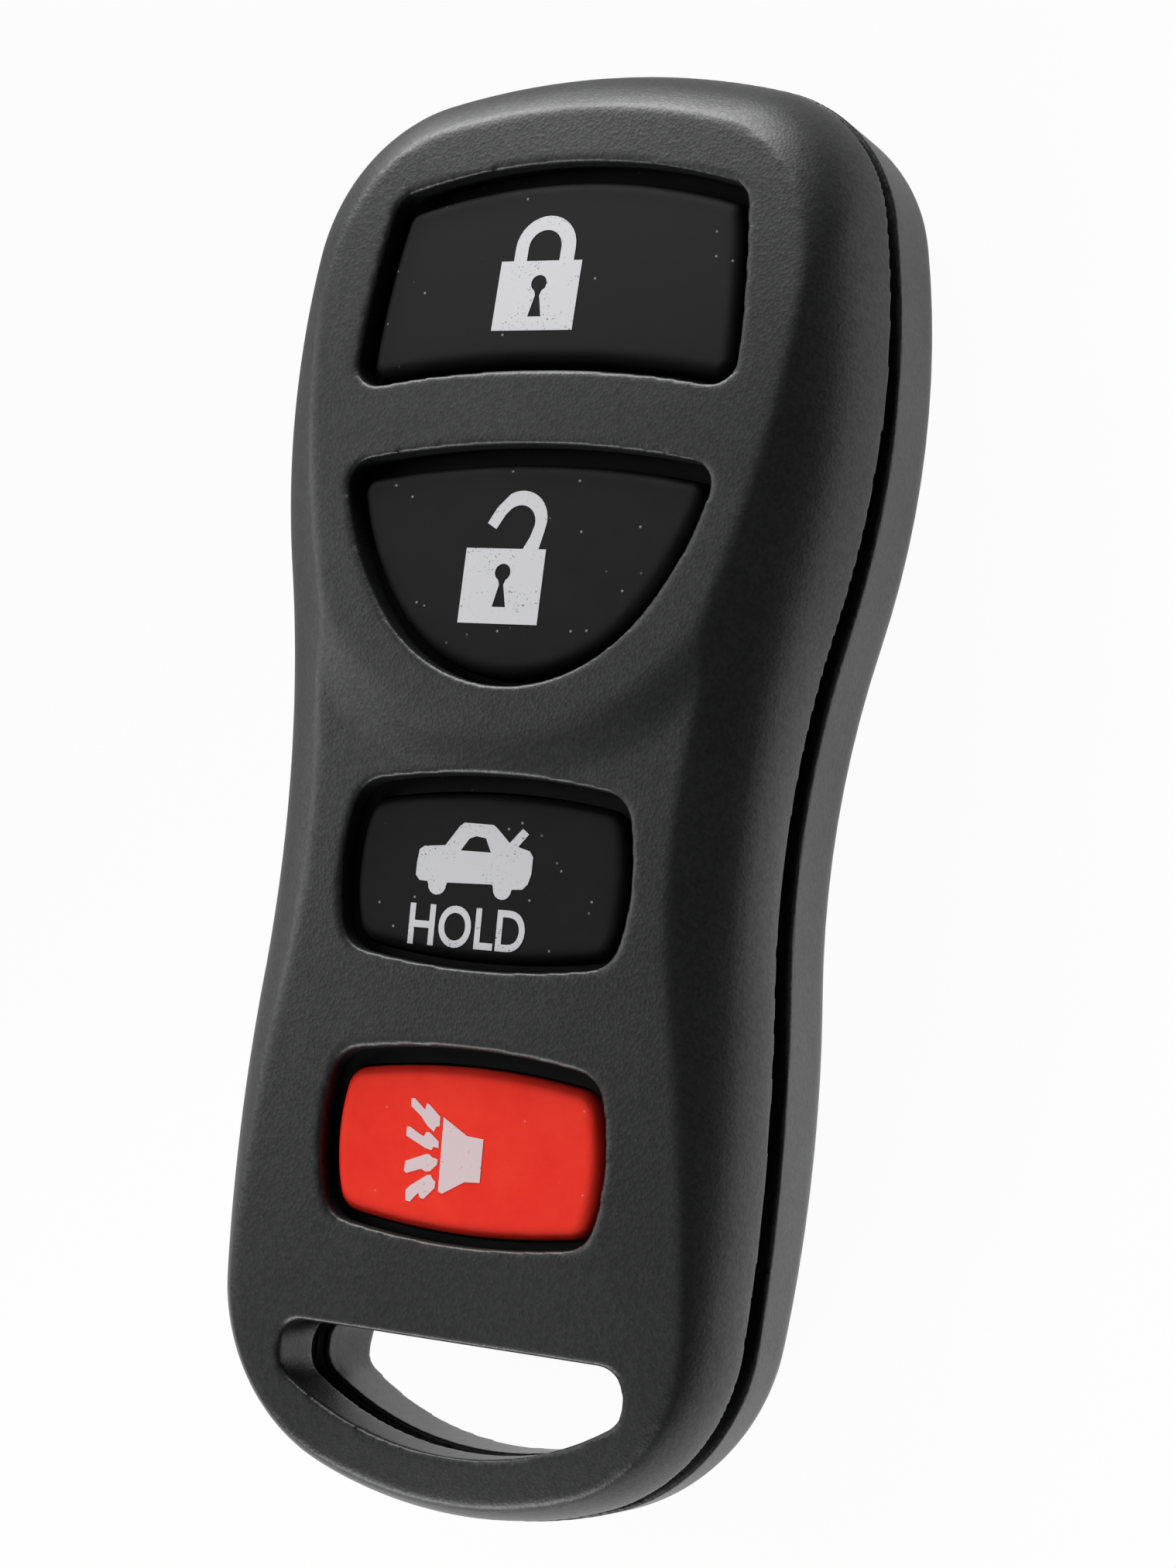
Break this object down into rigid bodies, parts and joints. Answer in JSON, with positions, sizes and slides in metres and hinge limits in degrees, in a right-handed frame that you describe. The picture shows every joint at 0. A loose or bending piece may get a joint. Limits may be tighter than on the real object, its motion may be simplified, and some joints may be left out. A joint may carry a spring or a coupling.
{
  "type": "car keyless entry remote",
  "caption": "Waisted hand-held car key remote with press buttons set in an arched face, a slot for a key ring and a two-shell case round a board and coin cell.",
  "frame": {"origin": "on the back face, under the middle of the case", "axes": "+Z out of the face with the buttons, +Y towards the end with the lock button, +X to the right seen from the front"},
  "size_m": [0.0328, 0.0722, 0.013],
  "materials": {
    "front_plastic": "fine textured moulding",
    "rear_plastic": "fine textured moulding",
    "screw_steel": "blackened",
    "keypad_rubber": "matte",
    "button_black": "matte",
    "button_red": "matte",
    "switch_plastic": "matte",
    "stem_plastic": "matte",
    "dome_steel": "bright",
    "board_green": "solder mask",
    "cell_steel": "satin",
    "contact_steel": "bright",
    "chip_black": "moulded",
    "can_steel": "bright",
    "resistor_black": "moulded",
    "capacitor_tan": "fired ceramic",
    "antenna_copper": "bare copper"
  },
  "bodies": {
    "case": {"front_shell": "front_plastic", "rear_shell": "rear_plastic", "case_screw": "screw_steel", "keypad_web": "keypad_rubber", "lock_switch_housing": "switch_plastic", "unlock_switch_housing": "switch_plastic", "trunk_switch_housing": "switch_plastic", "panic_switch_housing": "switch_plastic", "switch_domes": "dome_steel", "circuit_board": "board_green", "coin_cell": "cell_steel", "battery_clip": "contact_steel", "battery_leaf": "contact_steel", "controller_chip": "chip_black", "crystal_can": "can_steel", "radio_filter": "can_steel", "chip_resistors": "resistor_black", "chip_capacitors": "capacitor_tan", "antenna_loop": "antenna_copper"},
    "lock_key": {"lock_button": "button_black"},
    "lock_stem": {"lock_switch_stem": "stem_plastic"},
    "unlock_key": {"unlock_button": "button_black"},
    "unlock_stem": {"unlock_switch_stem": "stem_plastic"},
    "trunk_key": {"trunk_button": "button_black"},
    "trunk_stem": {"trunk_switch_stem": "stem_plastic"},
    "panic_key": {"panic_button": "button_red"},
    "panic_stem": {"panic_switch_stem": "stem_plastic"}
  },
  "joints": [
    {"name": "lock_press", "type": "slide", "parent": "case", "child": "lock_key", "axis": [0, 0, -1], "range_m": [0, 0.0004], "stiffness_N_per_m": 4000},
    {"name": "lock_stem_slide", "type": "slide", "parent": "case", "child": "lock_stem", "axis": [0, 0, -1], "range_m": [0, 0.0004]},
    {"name": "unlock_press", "type": "slide", "parent": "case", "child": "unlock_key", "axis": [0, 0, -1], "range_m": [0, 0.0004], "stiffness_N_per_m": 4000},
    {"name": "unlock_stem_slide", "type": "slide", "parent": "case", "child": "unlock_stem", "axis": [0, 0, -1], "range_m": [0, 0.0004]},
    {"name": "trunk_press", "type": "slide", "parent": "case", "child": "trunk_key", "axis": [0, 0, -1], "range_m": [0, 0.0004], "stiffness_N_per_m": 4000},
    {"name": "trunk_stem_slide", "type": "slide", "parent": "case", "child": "trunk_stem", "axis": [0, 0, -1], "range_m": [0, 0.0004]},
    {"name": "panic_press", "type": "slide", "parent": "case", "child": "panic_key", "axis": [0, 0, -1], "range_m": [0, 0.0004], "stiffness_N_per_m": 4000},
    {"name": "panic_stem_slide", "type": "slide", "parent": "case", "child": "panic_stem", "axis": [0, 0, -1], "range_m": [0, 0.0004]}
  ],
  "couplings": [
    {"joint": "lock_stem_slide", "follows": "lock_press", "ratio": 1},
    {"joint": "unlock_stem_slide", "follows": "unlock_press", "ratio": 1},
    {"joint": "trunk_stem_slide", "follows": "trunk_press", "ratio": 1},
    {"joint": "panic_stem_slide", "follows": "panic_press", "ratio": 1}
  ]
}
